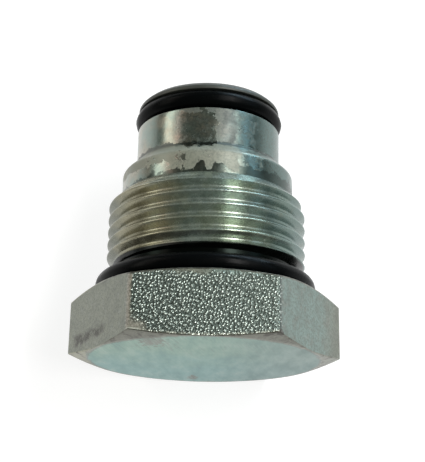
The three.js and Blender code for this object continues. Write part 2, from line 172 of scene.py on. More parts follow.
# Painted shade, near black, for the undercut and the thread's first turn beside the head ring.
UNDERCUT_SHADE = (0.006, 0.008, 0.007)
SMUDGE = (0.05, 0.045, 0.038)
FLAT_GREY = (0.224, 0.238, 0.194)
# Painted cool reflection for the right side of the head's flats.
FLAT_RIGHT_LIGHT = (0.226, 0.3, 0.272)
FLAT_DARK = (0.13, 0.138, 0.12)
FLAT_PALE = (0.29, 0.31, 0.275)
FLAT_GRIT = (0.095, 0.105, 0.092)
WORN = (0.4, 0.38, 0.32)
WORN_DARK = (0.17, 0.16, 0.13)
# Painted highlight and painted shade for the droplet grain on the top flat.
DROP_GLINT = (0.46, 0.52, 0.475)
DROP_GAP_SHADE = (0.095, 0.118, 0.106)
GLINT = (0.55, 0.58, 0.5)
CHAMFER_COOL = (0.215, 0.24, 0.212)
CHAMFER_WARM = (0.235, 0.225, 0.185)
CHAMFER_PALE = (0.36, 0.37, 0.31)
CHAMFER_DARK = (0.11, 0.108, 0.088)
CHAMFER_CREAM = (0.33, 0.33, 0.24)
FACE_BLUE = (0.113, 0.268, 0.252)
FACE_CREAM = (0.152, 0.283, 0.222)
FACE_COLD = (0.12, 0.225, 0.235)
FACE_PALE = (0.2, 0.31, 0.245)
FACE_SHADE = (0.085, 0.15, 0.137)
FACE_RIM = (0.2, 0.195, 0.16)
FACE_DIRT = (0.1, 0.1, 0.075)
SCRATCH = (0.09, 0.12, 0.1)
SCRATCH_PALE = (0.3, 0.38, 0.32)
BORE_DARK = (0.3, 0.31, 0.28)
BORE_PALE = (0.46, 0.48, 0.43)
RUBBER = (0.0012, 0.0016, 0.0018)
DUST = (0.03, 0.03, 0.028)
WIRE = (0.6, 0.58, 0.52)
WIRE_GAP = (0.05, 0.05, 0.045)

# The light and dark tint, the roughness and the depth of the turning marks of each bare metal.
METALS = {
    "bronze": ((0.78, 0.55, 0.28), (0.5, 0.33, 0.17), 0.3, 0.004),
    "plain_steel": ((0.6, 0.6, 0.58), (0.4, 0.4, 0.39), 0.28, 0.004),
    "hardened_steel": ((0.7, 0.7, 0.71), (0.55, 0.55, 0.56), 0.14, 0.002),
    "spring_steel": ((0.34, 0.35, 0.37), (0.2, 0.2, 0.21), 0.3, 0.004),
    "black_steel": ((0.16, 0.16, 0.16), (0.08, 0.08, 0.08), 0.35, 0.004),
}

# ---- Studio ----
CAMERA_PLACE = (1.0, -32.6, 166.4)
CAMERA_TILT = math.radians(18.2)
CAMERA_ROLL = math.radians(1.1)
CAMERA_LENS = 81.4
FLOOR_SIDE = 6000
FLOOR_GREY = (0.28, 0.28, 0.28)
FLOOR_GLOW = (0.82, 0.46)
FLOOR_GLOW_REACH = (110, 240)
ROOM_STRENGTH = 0.21
BACKDROP_STRENGTH = 0.55
WARM_WHITE = (1.0, 0.98, 0.9)
PINK = (1.0, 0.74, 0.7)
WHITE = (1.0, 0.99, 0.97)
SKY = (0.58, 0.8, 1.0)
PALE_SKY = (0.62, 0.84, 1.0)
ROOM = (0.95, 1.0, 0.88, 1)


# ---- Meshes ----

def angles(columns):
    """Angles about the valve axis, from +Z towards +X, with the first one again at the end."""
    return np.arange(columns + 1) % columns * (TURN / columns)


def from_third(phi):
    """Angles from the nearest of three even marks about the axis, the first of them at +Z."""
    return np.radians((np.degrees(phi) + 60) % 120 - 60)


def rounded(outline, phi):
    """Rings of (radius, height) from outline points (radius, height, setback, rows to the next point).
    A corner with a setback becomes a smooth bend. Radius and height may vary round the axis."""
    points = [(r + 0 * phi, y + 0 * phi) for r, y, _, _ in outline]
    rings = []
    starts, ends = [], []
    for i, (here, (_, _, setback, _)) in enumerate(zip(points, outline)):
        before, after = points[max(i - 1, 0)], points[min(i + 1, len(points) - 1)]
        starts.append(towards(here, before, setback))
        ends.append(towards(here, after, setback))
    for i, (_, _, setback, rows) in enumerate(outline):
        if setback:
            for t in CORNER_STEPS:
                rings.append(bezier(starts[i], points[i], ends[i], t))
        else:
            rings.append(points[i])
        if i + 1 < len(outline):
            for k in range(1, rows):
                rings.append(between(ends[i], starts[i + 1], k / rows))
    return rings


def towards(here, there, distance):
    """The point at that distance from here, or at most just under half way."""
    dr, dy = there[0] - here[0], there[1] - here[1]
    length = np.maximum(np.hypot(dr, dy), 1e-9)
    step = np.minimum(distance, 0.48 * length)
    return here[0] + dr / length * step, here[1] + dy / length * step


def bezier(a, b, c, t):
    """A point on the bend from a to c that b pulls out."""
    wa, wb, wc = (1 - t) ** 2, 2 * t * (1 - t), t * t
    return wa * a[0] + wb * b[0] + wc * c[0], wa * a[1] + wb * b[1] + wc * c[1]


def between(a, b, t):
    return a[0] + (b[0] - a[0]) * t, a[1] + (b[1] - a[1]) * t


def placed(rings, phi):
    """Rings of (radius, height) as rings of points in metres."""
    return [np.stack([r * np.sin(phi), y, r * np.cos(phi)], axis=1) * MM for r, y in rings]


def skin(name, patches):
    """One mesh from patches of rings. Points that meet are joined, and slivers go."""
    mesh = bmesh.new()
    for rings in patches:
        rows = [[mesh.verts.new(point) for point in ring] for ring in rings]
        for low, high in zip(rows, rows[1:]):
            for j in range(len(low) - 1):
                mesh.faces.new((low[j], low[j + 1], high[j + 1], high[j]))
    return closed(name, mesh)


def closed(name, mesh, join=2e-7, crease=32):
    """Joins points that meet, turns the faces outwards, and keeps only sharp edges sharp."""
    bmesh.ops.remove_doubles(mesh, verts=mesh.verts, dist=join)
    bmesh.ops.dissolve_degenerate(mesh, edges=mesh.edges, dist=join)
    bmesh.ops.recalc_face_normals(mesh, faces=mesh.faces)
    data = bpy.data.meshes.new(name)
    mesh.to_mesh(data)
    mesh.free()
    data.shade_smooth()
    data.set_sharp_from_angle(angle=math.radians(crease))
    return data


def lathe(name, outline, columns=PART_COLUMNS):
    """A turned part from outline points (radius, height, setback). An outline that starts off
    the axis closes on itself. A radius may be an array with one value for each column."""
    if np.max(outline[0][0]) > 0:
        outline = outline + [outline[0][:2] + (0,)]
    phi = angles(columns)
    rings = rounded([point + (1,) for point in outline], phi)
    return skin(name, [placed(rings, phi)])


def swept(name, sections):
    """A bar from sections, each a loop of points in metres, with its two ends closed."""
    mesh = bmesh.new()
    loops = [[mesh.verts.new(point) for point in section] for section in sections]
    count = len(loops[0])
    for near, far in zip(loops, loops[1:]):
        for j in range(count):
            k = (j + 1) % count
            mesh.faces.new((near[j], near[k], far[k], far[j]))
    mesh.faces.new(loops[0][::-1])
    mesh.faces.new(loops[-1])
    return closed(name, mesh)


def piece(name, data, body, node, slot):
    """A piece that stands for one CAD node. It rides on a body, unless it stretches between two.
    It takes the finish of its slot, unless its mesh already has materials."""
    made = bpy.data.objects.new(name, data)
    bpy.context.scene.collection.objects.link(made)
    if not data.materials:
        data.materials.append(FINISHES[slot])
    if body:
        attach(made, body)
    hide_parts(node)
    return made


def turned_piece(name, outline, body, node, slot, columns=PART_COLUMNS):
    return piece(name, lathe(name, outline, columns), body, node, slot)


# ---- The body ----

def hexagon_radius(phi, across_flats, edge_radius):
    """Distance from the axis to a hexagon with rounded corners. One flat faces angle 0."""
    apothem = across_flats / 2
    from_corner = np.abs(np.degrees(phi) % 60 - 30) * math.pi / 180
    centre = (apothem - edge_radius) / math.cos(math.pi / 6)
    flat = apothem / np.cos(math.pi / 6 - from_corner)
    inside = np.maximum(edge_radius**2 - (centre * np.sin(from_corner)) ** 2, 0)
    corner = centre * np.cos(from_corner) + np.sqrt(inside)
    arc_end = math.atan2(edge_radius * 0.5, centre + edge_radius * math.cos(math.pi / 6))
    return np.where(from_corner < arc_end, corner, flat)


def head_rings(phi):
    """From the middle of the end face, over the flats, to the seat face."""
    side = hexagon_radius(phi, ACROSS_FLATS, HEX_EDGE_RADIUS)
    face = np.minimum(FACE_CHAMFER_RADIUS, side - 0.1)
    seat = np.minimum(SEAT_CHAMFER_RADIUS, side - 0.3)
    face_edge_y = (side - face) * FACE_CHAMFER_SLOPE
    seat_edge_y = HEAD_HEIGHT - (side - seat) * SEAT_CHAMFER_SLOPE
    outline = [
        (0, 0, 0, 8),
        (face, 0, 0.6, 3),
        (side, face_edge_y, 0.14, FLAT_ROWS),
        (side, seat_edge_y, 0.22, 4),
        (seat, HEAD_HEIGHT, 0.12, 2),
        (RING_SEAT_RADIUS, HEAD_HEIGHT, 0.03, 1),
        (RING_SEAT_RADIUS, HEAD_HEIGHT - RING_SEAT_DEPTH, 0.03, 2),
        (UNDERCUT_RADIUS + 1, HEAD_HEIGHT - RING_SEAT_DEPTH, 0, 1),
    ]
    return rounded(outline, phi)


def undercut_rings(phi):
    outline = [
        (UNDERCUT_RADIUS + 1, HEAD_HEIGHT - RING_SEAT_DEPTH, 0, 1),
        (UNDERCUT_RADIUS, HEAD_HEIGHT - RING_SEAT_DEPTH, 0.5, 3),
        (UNDERCUT_RADIUS, THREAD_START_Y, 0, 1),
    ]
    return rounded(outline, phi)


def nose_rings(phi):
    outline = [
        (COLLAR_RADIUS, THREAD_END_Y, 0, 2),
        (COLLAR_RADIUS, COLLAR_EDGE_Y, 0.45, 3),
        (NOSE_RADIUS, NOSE_START_Y, 0.35, 6),
        (NOSE_RADIUS, RING_GROOVE_Y[0], 0.15, 3),
        (RING_GROOVE_RADIUS, RING_GROOVE_Y[0], 0.3, 2),
        (RING_GROOVE_RADIUS, RING_GROOVE_Y[1], 0.3, 3),
        (NOSE_RADIUS, RING_GROOVE_Y[1], 0.15, 2),
        (NOSE_RADIUS, TIP_CHAMFER_Y, 0.3, 2),
        (TIP_RADIUS, TIP_Y, 0.2, 3),
        (BORE_RADIUS + 0.4, TIP_Y, 0.1, 1),
    ]
    return rounded(outline, phi)


def bore_rings(phi):
    outline = [
        (BORE_RADIUS + 0.4, TIP_Y, 0.1, 1),
        (BORE_RADIUS, TIP_Y - 0.4, 0.1, 1),
        (BORE_RADIUS, SNAP_GROOVE_Y[1], 0.05, 1),
        (SNAP_GROOVE_RADIUS, SNAP_GROOVE_Y[1], 0.05, 1),
        (SNAP_GROOVE_RADIUS, SNAP_GROOVE_Y[0], 0.05, 1),
        (BORE_RADIUS, SNAP_GROOVE_Y[0], 0.05, 4),
        (BORE_RADIUS, BORE_FLOOR_Y, 0.1, 1),
        (CHAMBER_RADIUS, BORE_FLOOR_Y, 0.2, 3),
        (CHAMBER_RADIUS, CHAMBER_FLOOR_Y, 0.35, 3),
        (0, CHAMBER_FLOOR_Y, 0, 1),
    ]
    return rounded(outline, phi)


def thread_arc(offset, centre, radius, steps):
    """Offsets and radii of an arc of 60 degrees to each side. A negative radius makes it dip."""
    turns = [math.radians(60) * k / steps for k in range(-steps, steps + 1)]
    return [(offset + abs(radius) * math.sin(turn), centre + radius * math.cos(turn)) for turn in turns]


def thread_profile():
    """Offsets and radii over one pitch, with straight flanks between a crest and a rounder root."""
    crest = thread_arc(0, THREAD_RADIUS - CREST_ROUND, CREST_ROUND, 3)
    root = thread_arc(THREAD_PITCH / 2, THREAD_RADIUS - THREAD_DEPTH + ROOT_ROUND, -ROOT_ROUND, 4)
    return crest + root


def thread_rings(columns):
    """Rows that follow the helix. Rows past an end lie on that end's circle."""
    lead_slope = (THREAD_RADIUS - COLLAR_RADIUS) / (THREAD_END_Y - THREAD_CHAMFER_Y)
    share = np.arange(columns + 1) / columns
    phi = angles(columns)
    first = math.floor((THREAD_START_Y - CREST_Y) / THREAD_PITCH) - 2
    last = math.ceil((THREAD_END_Y - CREST_Y) / THREAD_PITCH) + 1
    rings = []
    for turn in range(first, last + 1):
        for offset, radius in thread_profile():
            y = CREST_Y + (turn + share) * THREAD_PITCH + offset
            y = np.clip(y, THREAD_START_Y, THREAD_END_Y)
            lead = COLLAR_RADIUS + (THREAD_END_Y - y) * lead_slope
            run_out = UNDERCUT_RADIUS + (y - THREAD_START_Y) * THREAD_RUN_OUT_SLOPE
            rings.append((np.minimum(radius, np.minimum(lead, run_out)), y))
    return placed(rings, phi)


def step_between(outer, inner):
    """Joins a ring of many points to one of fewer, by repeating the points of the coarse one."""
    ratio = (len(outer) - 1) // (len(inner) - 1)
    repeated = inner[(np.arange(len(outer)) + ratio // 2) // ratio % (len(inner) - 1)]
    return [outer, repeated]


def make_body():
    """The whole body in one mesh, with a finish for each kind of surface."""
    materials = FINISHES["zinc_plated_steel"]
    fine, coarse = angles(HEAD_COLUMNS), angles(SHANK_COLUMNS)
    head = placed(head_rings(fine), fine)
    undercut = placed(undercut_rings(coarse), coarse)
    patches = [
        head,
        step_between(head[-1], undercut[0]),
        undercut,
        thread_rings(SHANK_COLUMNS),
        placed(nose_rings(coarse), coarse),
        placed(bore_rings(coarse), coarse),
    ]
    data = skin("body", patches)
    for material in materials.values():
        data.materials.append(material)
    names = list(materials)
    for polygon in data.polygons:
        polygon.material_index = names.index(body_region(polygon.center / MM, polygon.normal))
    piece("body", data, "housing", "valve_body", "zinc_plated_steel")


def body_region(point, normal):
    """Which finish a spot on the body has."""
    radius = math.hypot(point.x, point.z)
    if point.y < 1 and normal.y < -0.99:
        return "end_face"
    if radius > RING_SEAT_RADIUS:
        return "flats" if abs(normal.y) < 0.12 else "chamfers"
    if radius < BORE_RADIUS + 0.45:
        return "bore"
    return "thread" if THREAD_START_Y < point.y < THREAD_END_Y else "shank"


# ---- Node helpers ----

class Finish:
    """A material's nodes, with short calls for the ones that the finishes share. Coordinates are
    the frame's, in millimetres. The angle is about the valve axis, from +Z towards +X, in radians."""

    def __init__(self, name, metallic=1.0):
        self.material = bpy.data.materials.new(name)
        self.material.use_nodes = True
        self.tree = self.material.node_tree
        self.shader = self.tree.nodes["Principled BSDF"]
        self.shader.inputs["Metallic"].default_value = metallic
        place = self.node("ShaderNodeTexCoord").outputs["Object"]
        self.place = self.vector("MULTIPLY", place, (1 / MM, 1 / MM, 1 / MM))
        axes = self.node("ShaderNodeSeparateXYZ")
        self.link(self.place, axes.inputs[0])
        self.x, self.y, self.z = axes.outputs
        self.angle = self.math("ARCTAN2", self.x, self.z)
        self.radius = self.length(self.x, self.z)

    def node(self, kind, **settings):
        made = self.tree.nodes.new(kind)
        for key, value in settings.items():
            setattr(made, key, value)
        return made

    def link(self, source, socket):
        """Links a socket, or sets a plain value."""
        if isinstance(source, bpy.types.NodeSocket):
            self.tree.links.new(source, socket)
        elif source is not None:
            socket.default_value = source

    def math(self, operation, a, b=None):
        made = self.node("ShaderNodeMath", operation=operation)
        self.link(a, made.inputs[0])
        self.link(b, made.inputs[1])
        return made.outputs[0]

    def add(self, a, b):
        return self.math("ADD", a, b)

    def times(self, product, *others):
        for other in others:
            product = self.math("MULTIPLY", product, other)
        return product

    def larger(self, largest, *others):
        for other in others:
            largest = self.math("MAXIMUM", largest, other)
        return largest

    def length(self, a, b):
        return self.math("SQRT", self.add(self.times(a, a), self.times(b, b)))

    def shifted(self, value, by, amount):
        """The value with that amount of another added."""
        return self.add(value, self.times(by, amount))

    def vector(self, operation, a, b):
        made = self.node("ShaderNodeVectorMath", operation=operation)
        self.link(a, made.inputs[0])
        self.link(b, made.inputs[1])
        return made.outputs[0]

    def turned(self, axis, degrees, stretch):
        """The coordinates turned about one of the frame's axes, then scaled along each."""
        made = self.node("ShaderNodeVectorRotate", rotation_type=axis)
        self.link(self.place, made.inputs["Vector"])
        made.inputs["Angle"].default_value = math.radians(degrees)
        return self.vector("MULTIPLY", made.outputs[0], stretch)

    def unrolled(self, shrunk):
        """Coordinates of a turned surface laid flat and shrunk round the axis, for turning marks."""
        made = self.node("ShaderNodeCombineXYZ")
        self.link(self.times(self.angle, MARKS_RADIUS * shrunk), made.inputs[0])
        self.link(self.y, made.inputs[1])
        self.link(self.radius, made.inputs[2])
        return made.outputs[0]

    def by_radius(self):
        """Coordinates that change with the radius only, for turning marks on a flat face."""
        made = self.node("ShaderNodeCombineXYZ")
        self.link(self.radius, made.inputs[0])
        return made.outputs[0]

    def noise(self, size, detail=3.0, roughness=0.55, place=None):
        """Soft noise, from 0 to 1, with blotches of about that size in millimetres."""
        made = self.node("ShaderNodeTexNoise")
        self.link(place or self.place, made.inputs["Vector"])
        made.inputs["Scale"].default_value = 1 / size
        made.inputs["Detail"].default_value = detail
        made.inputs["Roughness"].default_value = roughness
        return made.outputs["Fac"]

    def cells(self, size, place):
        """Distance to the nearest of random points that far apart, by the first two coordinates."""
        made = self.node("ShaderNodeTexVoronoi", voronoi_dimensions="2D")
        self.link(place, made.inputs["Vector"])
        made.inputs["Scale"].default_value = 1 / size
        return made.outputs["Distance"]

    def fade(self, value, low, high, to_low=0.0, to_high=1.0):
        """Turns low..high smoothly into to_low..to_high."""
        made = self.node("ShaderNodeMapRange", interpolation_type="SMOOTHSTEP")
        self.link(value, made.inputs["Value"])
        for socket, number in zip(("From Min", "From Max", "To Min", "To Max"),
                                  (low, high, to_low, to_high)):
            made.inputs[socket].default_value = number
        return made.outputs["Result"]

    def fall(self, value, low, high):
        """Turns low..high smoothly into 1..0."""
        return self.fade(value, low, high, 1.0, 0.0)

    def band(self, value, low, high, soft):
        """1 between low and high, 0 outside, with soft ends."""
        return self.times(self.fade(value, low - soft, low + soft),
                          self.fall(value, high - soft, high + soft))

    def spot(self, centre, reach, ragged):
        """1 at a place and 0 past a reach along each axis. The more ragged, the rougher its edge."""
        apart = self.vector("DIVIDE", self.vector("SUBTRACT", self.place, centre), reach)
        made = self.node("ShaderNodeVectorMath", operation="LENGTH")
        self.link(apart, made.inputs[0])
        wobble = self.times(self.noise(min(reach) * 0.8, detail=7, roughness=0.7), 2 * ragged)
        return self.fall(self.add(made.outputs["Value"], wobble), 0.7 + ragged, 1 + ragged)

    def mix(self, share, a, b):
        made = self.node("ShaderNodeMix", data_type="RGBA")
        self.link(share, made.inputs["Factor"])
        self.link(colour(a), made.inputs[6])
        self.link(colour(b), made.inputs[7])
        return made.outputs[2]

    def coats(self, base, *coats):
        """A base colour under coats, each with its share and its colour."""
        for share, coat in coats:
            base = self.mix(share, base, coat)
        return base

    def bump(self, height, distance, below=None):
        """Relief of that many millimetres, on top of the relief below it."""
        made = self.node("ShaderNodeBump")
        made.inputs["Strength"].default_value = 1.0
        made.inputs["Distance"].default_value = distance * MM
        self.link(height, made.inputs["Height"])
        self.link(below, made.inputs["Normal"])
        return made.outputs["Normal"]

    def paint(self, base, roughness, normal=None, metallic=None):
        self.link(colour(base), self.shader.inputs["Base Color"])
        self.link(roughness, self.shader.inputs["Roughness"])
        self.link(normal, self.shader.inputs["Normal"])
        self.link(metallic, self.shader.inputs["Metallic"])
        return self.material


def colour(value):
    """A plain colour gets full alpha, and a linked one stays as it is."""
    return (*value, 1.0) if isinstance(value, tuple) else value


# ---- Finishes ----

def shank_finish():
    """Turned and plated steel. A pale dried film covers it and is torn open over clean dark metal."""
    f = Finish("zinc_shank")
    shift = f.add(f.noise(1.7, detail=8, roughness=0.66), -0.5)
    broad = f.noise(5)
    clouds = f.noise(1.1, detail=5, roughness=0.65)
    grit = f.fade(f.noise(0.36, detail=4, roughness=0.7), 0.42, 0.62)
    grit = f.times(grit, f.fade(f.angle, -0.5, -0.3, 0.15, 1.0))
    past_edge = f.shifted(f.angle, shift, 0.6)
    beyond = f.shifted(f.angle, shift, 0.5)
    window = shank_window(f, past_edge, shift)
    torn = shank_torn(f, shift, broad, clouds, beyond)
    foot, corner = shank_stains(f, shift)
    # The land in front of the nose ring is dark, and the undercut gets painted shade, near black.
    land = f.fade(f.y, RING_GROOVE_Y[1] - 0.4, RING_GROOVE_Y[1] - 0.2)
    painted_undercut_shade = f.fall(f.y, THREAD_START_Y, THREAD_START_Y + 0.2)
    # How much film is left, with a haze of it in the window.
    haze = f.times(f.fade(clouds, 0.46, 0.66, 0.0, 0.8),
                   f.fade(f.y, NOSE_START_Y, NOSE_START_Y + 4, 1.0, 0.4),
                   f.fade(f.angle, -0.5, -0.3, 0.2, 1.0))
    film = f.larger(f.fall(f.larger(window, torn), 0, 1), f.times(haze, window))
    film = f.times(film, f.fade(broad, 0.3, 0.5, 0.65, 0.85))
    film = f.times(film, f.fade(foot, 0.2, 0.8, 1.0, 0.15), f.fall(painted_undercut_shade, 0, 1))
    film = f.larger(film, f.times(land, 0.8))
    metal = f.coats(
        ZINC,
        (f.fade(f.noise(3.5), 0.35, 0.65), ZINC_WARM),
        # Painted bluish reflection on the right side of the barrel.
        (f.fade(f.angle, 0.2, 0.5, 0.0, 0.9), BLUE_REFLECTION),
        (f.times(grit, 0.75), ZINC_DULL),
        (f.times(window, f.fade(f.angle, -0.4, -0.2), f.fade(clouds, 0.4, 0.6, 0.0, 0.7)), ZINC_DULL),
    )
    blotted = f.times(f.fade(clouds, 0.36, 0.56, 0.1, 1.0), f.fade(beyond, 0.14, 0.24),
                      f.fade(f.y, NOSE_START_Y, NOSE_START_Y + 1))
    dried = f.coats(
        FILM_PALE,
        (f.fade(f.y, NOSE_START_Y - 0.3, NOSE_START_Y + 0.2), FILM),
        (f.times(f.band(past_edge, 0.1, 0.24, 0.1), 0.25), FILM_PALE),
        (f.times(grit, 0.3), FILM_DULL),
        (blotted, FILM_BLOT),
    )
    base = f.coats(
        metal,
        (film, dried),
        (f.times(land, 0.85), LAND),
        (f.times(f.larger(corner, f.times(foot, 0.8)), 0.85), STAIN),
        # Painted shade, near black, in the undercut.
        (painted_undercut_shade, UNDERCUT_SHADE),
    )
    relief = f.bump(f.noise(0.35, detail=2, place=f.unrolled(0.02)), 0.003)
    relief = f.bump(f.noise(0.5, detail=4), 0.006, below=relief)
    relief = f.bump(film, 0.012, below=relief)
    rough = f.add(f.fade(f.noise(2.5, detail=5), 0.3, 0.7, 0.17, 0.26), f.times(film, 0.28))
    rough = f.add(rough, f.fade(f.angle, 0.2, 0.4, 0.0, 0.07))
    return f.paint(base, rough, relief, f.fade(film, 0.0, 1.0, 1.0, 0.15))


def shank_window(f, past_edge, shift):
    """Clean metal on the barrel's left side, up to a ragged edge just right of the middle."""
    height = f.add(f.shifted(f.y, shift, 3.0), f.fade(f.angle, -0.55, -0.2, -1.6, 0.0))
    along = f.band(height, NOSE_START_Y - 1, RING_GROOVE_Y[0] - 0.95, 0.1)
    return f.times(f.fall(past_edge, 0.08, 0.12), along)


def shank_torn(f, shift, broad, clouds, beyond):
    """Where else the film is off: cloudy and then wiped on the right, bare at the collar's lower
    left, and in small flakes on the left."""
    thin = f.times(f.fade(beyond, 0.3, 0.46), f.fade(clouds, 0.4, 0.56, 0.45, 1.0))
    wiped = f.larger(thin, f.fade(beyond, 0.66, 0.78))
    low = f.fall(f.shifted(f.y, shift, 5.0), THREAD_END_Y + 2.0, THREAD_END_Y + 2.5)
    bare = f.times(f.fall(beyond, -0.48, -0.36), low)
    flaked = f.times(f.fade(f.shifted(shift, broad, 0.6), 0.4, 0.43), f.fall(f.angle, 0.0, 0.1),
                     f.fall(f.y, *RING_GROOVE_Y))
    return f.larger(wiped, bare, flaked)


def shank_stains(f, shift):
    """Dark stains: patches at the foot of the collar, and a toothed line in the corner above it."""
    tall = f.larger(
        f.times(f.band(f.angle, -0.13, -0.02, 0.03), 1.7),
        f.times(f.band(f.angle, 0.05, 0.2, 0.04), 1.1),
        f.fade(f.angle, 0.28, 0.5, 0.0, 1.2),
    )
    top = f.math("SUBTRACT", f.shifted(f.y, shift, 4.0), tall)
    foot = f.times(f.fall(top, THREAD_END_Y + 0.35, THREAD_END_Y + 0.5),
                   f.fade(f.y, THREAD_END_Y - 1, THREAD_END_Y - 0.9))
    teeth = f.add(f.noise(0.8, detail=4, roughness=0.6), -0.5)
    corner = f.band(f.shifted(f.y, teeth, 1.8), NOSE_START_Y - 0.45, NOSE_START_Y + 0.25, 0.08)
    return foot, f.times(corner, f.fade(f.angle, -0.55, -0.35, 0.35, 1.0))


def thread_finish():
    """Rolled thread under passivated zinc, olive with pale specks. A warm painted reflection lies on
    its left side, painted shade on its far left edge and a bluish painted reflection on its right.
    """
    f = Finish("zinc_thread")
    broad = f.noise(5)
    clouds = f.noise(1.8, detail=5, roughness=0.6)
    side = f.shifted(f.angle, f.add(broad, -0.5), 0.6)
    base = f.coats(
        ZINC_OLIVE,
        (f.fade(broad, 0.35, 0.65), ZINC),
        # Warm painted reflection on the left side.
        (f.fade(side, -0.7, -0.1, 0.85, 0.0), WARM_REFLECTION),
        (f.fade(side, -1.3, -0.9, 0.85, 0.0), ZINC_SHADE),
        # Painted bluish reflection on the right side.
        (f.fade(side, 0.4, 0.8, 0.0, 0.7), BLUE_REFLECTION),
        (f.fade(clouds, 0.5, 0.75, 0.0, 0.4), ZINC_CLOUD),
        (f.fade(f.noise(1.1, detail=1), 0.79, 0.81), SPECK),
        # Painted shade, near black, on the thread's first turn by the undercut.
        (f.fall(f.y, THREAD_START_Y + 0.7, THREAD_START_Y + 0.95), UNDERCUT_SHADE),
    )
    relief = f.bump(f.noise(0.3, place=f.unrolled(0.04)), 0.004)
    relief = f.bump(f.noise(0.8, detail=4), 0.008, below=relief)
    rough = f.fade(clouds, 0.3, 0.7, 0.2, 0.3)
    return f.paint(base, rough, relief, f.fade(clouds, 0.3, 0.7, 0.8, 0.6))


def flats_finish():
    """Rolled hexagon bar. Droplet grain under the plating glints on the top flat and fades before
    its worn edges; the drops' tops carry painted highlights and the gaps painted shade. The other
    flats are smooth and mottled."""
    f = Finish("zinc_flats")
    blots = f.noise(2.4, detail=5, roughness=0.6)
    mottles = f.noise(1.2, detail=6, roughness=0.7)
    fine = f.noise(0.4, detail=5, roughness=0.75)
    uneven = f.noise(1.5, detail=5, roughness=0.6)
    top_flat = f.fade(f.z, ACROSS_FLATS / 2 - 1, ACROSS_FLATS / 2 - 0.2)
    rubbed = f.times(top_flat, rubbed_edges(f, uneven, blots))
    below_edge = f.fall(f.shifted(f.y, uneven, 3.4), HEAD_HEIGHT + 0.3, HEAD_HEIGHT + 1.2)
    coarse = f.times(top_flat, below_edge, f.fall(rubbed, 0, 1))
    slanted = f.turned("Z_AXIS", -50, (0.75, 1.15, 1.0))
    grain = f.noise(0.34, roughness=0.6, place=slanted)
    drops = f.fall(f.cells(0.44, slanted), 0.05, 0.48)
    height = f.add(f.times(drops, 0.52), f.times(grain, 0.7))
    base = f.coats(
        FLAT_GREY,
        # A cooler, brighter painted reflection on the right side of the head.
        (f.band(f.shifted(f.x, blots, 4.0), 3.0, 21.5, 2.5), FLAT_RIGHT_LIGHT),
        (f.fade(blots, 0.42, 0.7, 0.0, 0.5), FLAT_DARK),
        (f.fade(mottles, 0.5, 0.66, 0.0, 0.5), FLAT_PALE),
        (f.fade(fine, 0.42, 0.62, 0.0, 0.55), FLAT_GRIT),
        # Painted highlights on the tops of the drops and painted shade in the gaps between them.
        (coarse, f.mix(f.fade(f.shifted(height, blots, 0.35), 0.735, 1.055), DROP_GAP_SHADE, DROP_GLINT)),
        (rubbed, f.mix(f.fade(fine, 0.4, 0.6), WORN, WORN_DARK)),
        (edge_glint(f, top_flat, fine), GLINT),
        (hand_smear(f, blots, mottles), SMUDGE),
        (corner_stain(f), SMUDGE),
        (seat_edge_smear(f, blots), SMUDGE),
    )
    relief = f.bump(fine, 0.045)
    relief = f.bump(f.times(height, coarse), 0.11, below=relief)
    rough = f.add(0.4, f.times(coarse, f.fade(grain, 0.35, 0.65, 0.0, -0.16)))
    return f.paint(base, rough, relief, f.fade(rubbed, 0.0, 1.0, 1.0, 0.3))


def rubbed_edges(f, uneven, blots):
    """The top flat is rubbed smooth along its left edge and in that edge's lower corner."""
    left_edge = -HEX_CORNER_RADIUS / 2
    strip = f.fall(f.shifted(f.x, uneven, 1.2), left_edge + 0.6, left_edge + 1.1)
    corner = f.fade(f.shifted(f.add(f.x, f.y), blots, 4.0), -7.5, -4.5, 0.85, 0.0)
    return f.larger(strip, corner)


def edge_glint(f, top_flat, fine):
    """Bare plating that glints along the top flat's lower edge."""
    off_chamfer = f.shifted(f.y, f.add(f.radius, -FACE_CHAMFER_RADIUS), -FACE_CHAMFER_SLOPE)
    return f.times(f.fall(off_chamfer, 0.15, 0.5), top_flat, f.fade(fine, 0.42, 0.55), 0.8)


def hand_smear(f, blots, mottles):
    """A dark smear near the end face, on the flat to the left of the top one."""
    low = f.band(f.shifted(f.y, blots, 2.4), 2.9, 4.4, 0.5)
    left = f.times(f.band(f.shifted(f.x, blots, 3.0), -19.7, -13.8, 0.8), f.fade(f.z, 0.0, 3.0))
    return f.times(low, left, f.fade(mottles, 0.4, 0.56, 0.25, 0.85))


def seat_edge_smear(f, blots):
    """Dark blots along the edge that meets the seat face."""
    high = f.fade(f.shifted(f.y, blots, 1.6), HEAD_HEIGHT + 0.1, HEAD_HEIGHT + 0.7)
    return f.times(high, f.fade(blots, 0.45, 0.6), 0.55)


def corner_stain(f):
    """A dark spot on a corner of the hexagon, where the flat right of the top one meets the chamfer."""
    angle = math.radians(31.5)
    radius = HEX_CORNER_RADIUS - 0.2
    place = (radius * math.sin(angle), 0.6, radius * math.cos(angle))
    return f.times(f.spot(place, (0.9, 0.9, 0.9), 0.4), 0.8)


def chamfers_finish():
    """The turned corner chamfers: grey-brown where they are handled, with dark smudges."""
    f = Finish("zinc_chamfers")
    smudges = f.fade(f.noise(1.6, detail=7, roughness=0.7), 0.47, 0.62)
    base = f.coats(
        CHAMFER_COOL,
        (f.noise(3), CHAMFER_WARM),
        (f.fade(f.noise(0.6, detail=4, roughness=0.7), 0.5, 0.62, 0.0, 0.5), CHAMFER_PALE),
        (f.fade(f.z, 9.0, 15.0, 0.0, 0.55), CHAMFER_DARK),
        (f.fade(f.x, -19.0, -14.5, 0.6, 0.0), CHAMFER_CREAM),
        (f.times(smudges, 0.72), SMUDGE),
        (corner_stain(f), SMUDGE),
    )
    return f.paint(base, 0.4, f.bump(f.noise(0.25), 0.015))


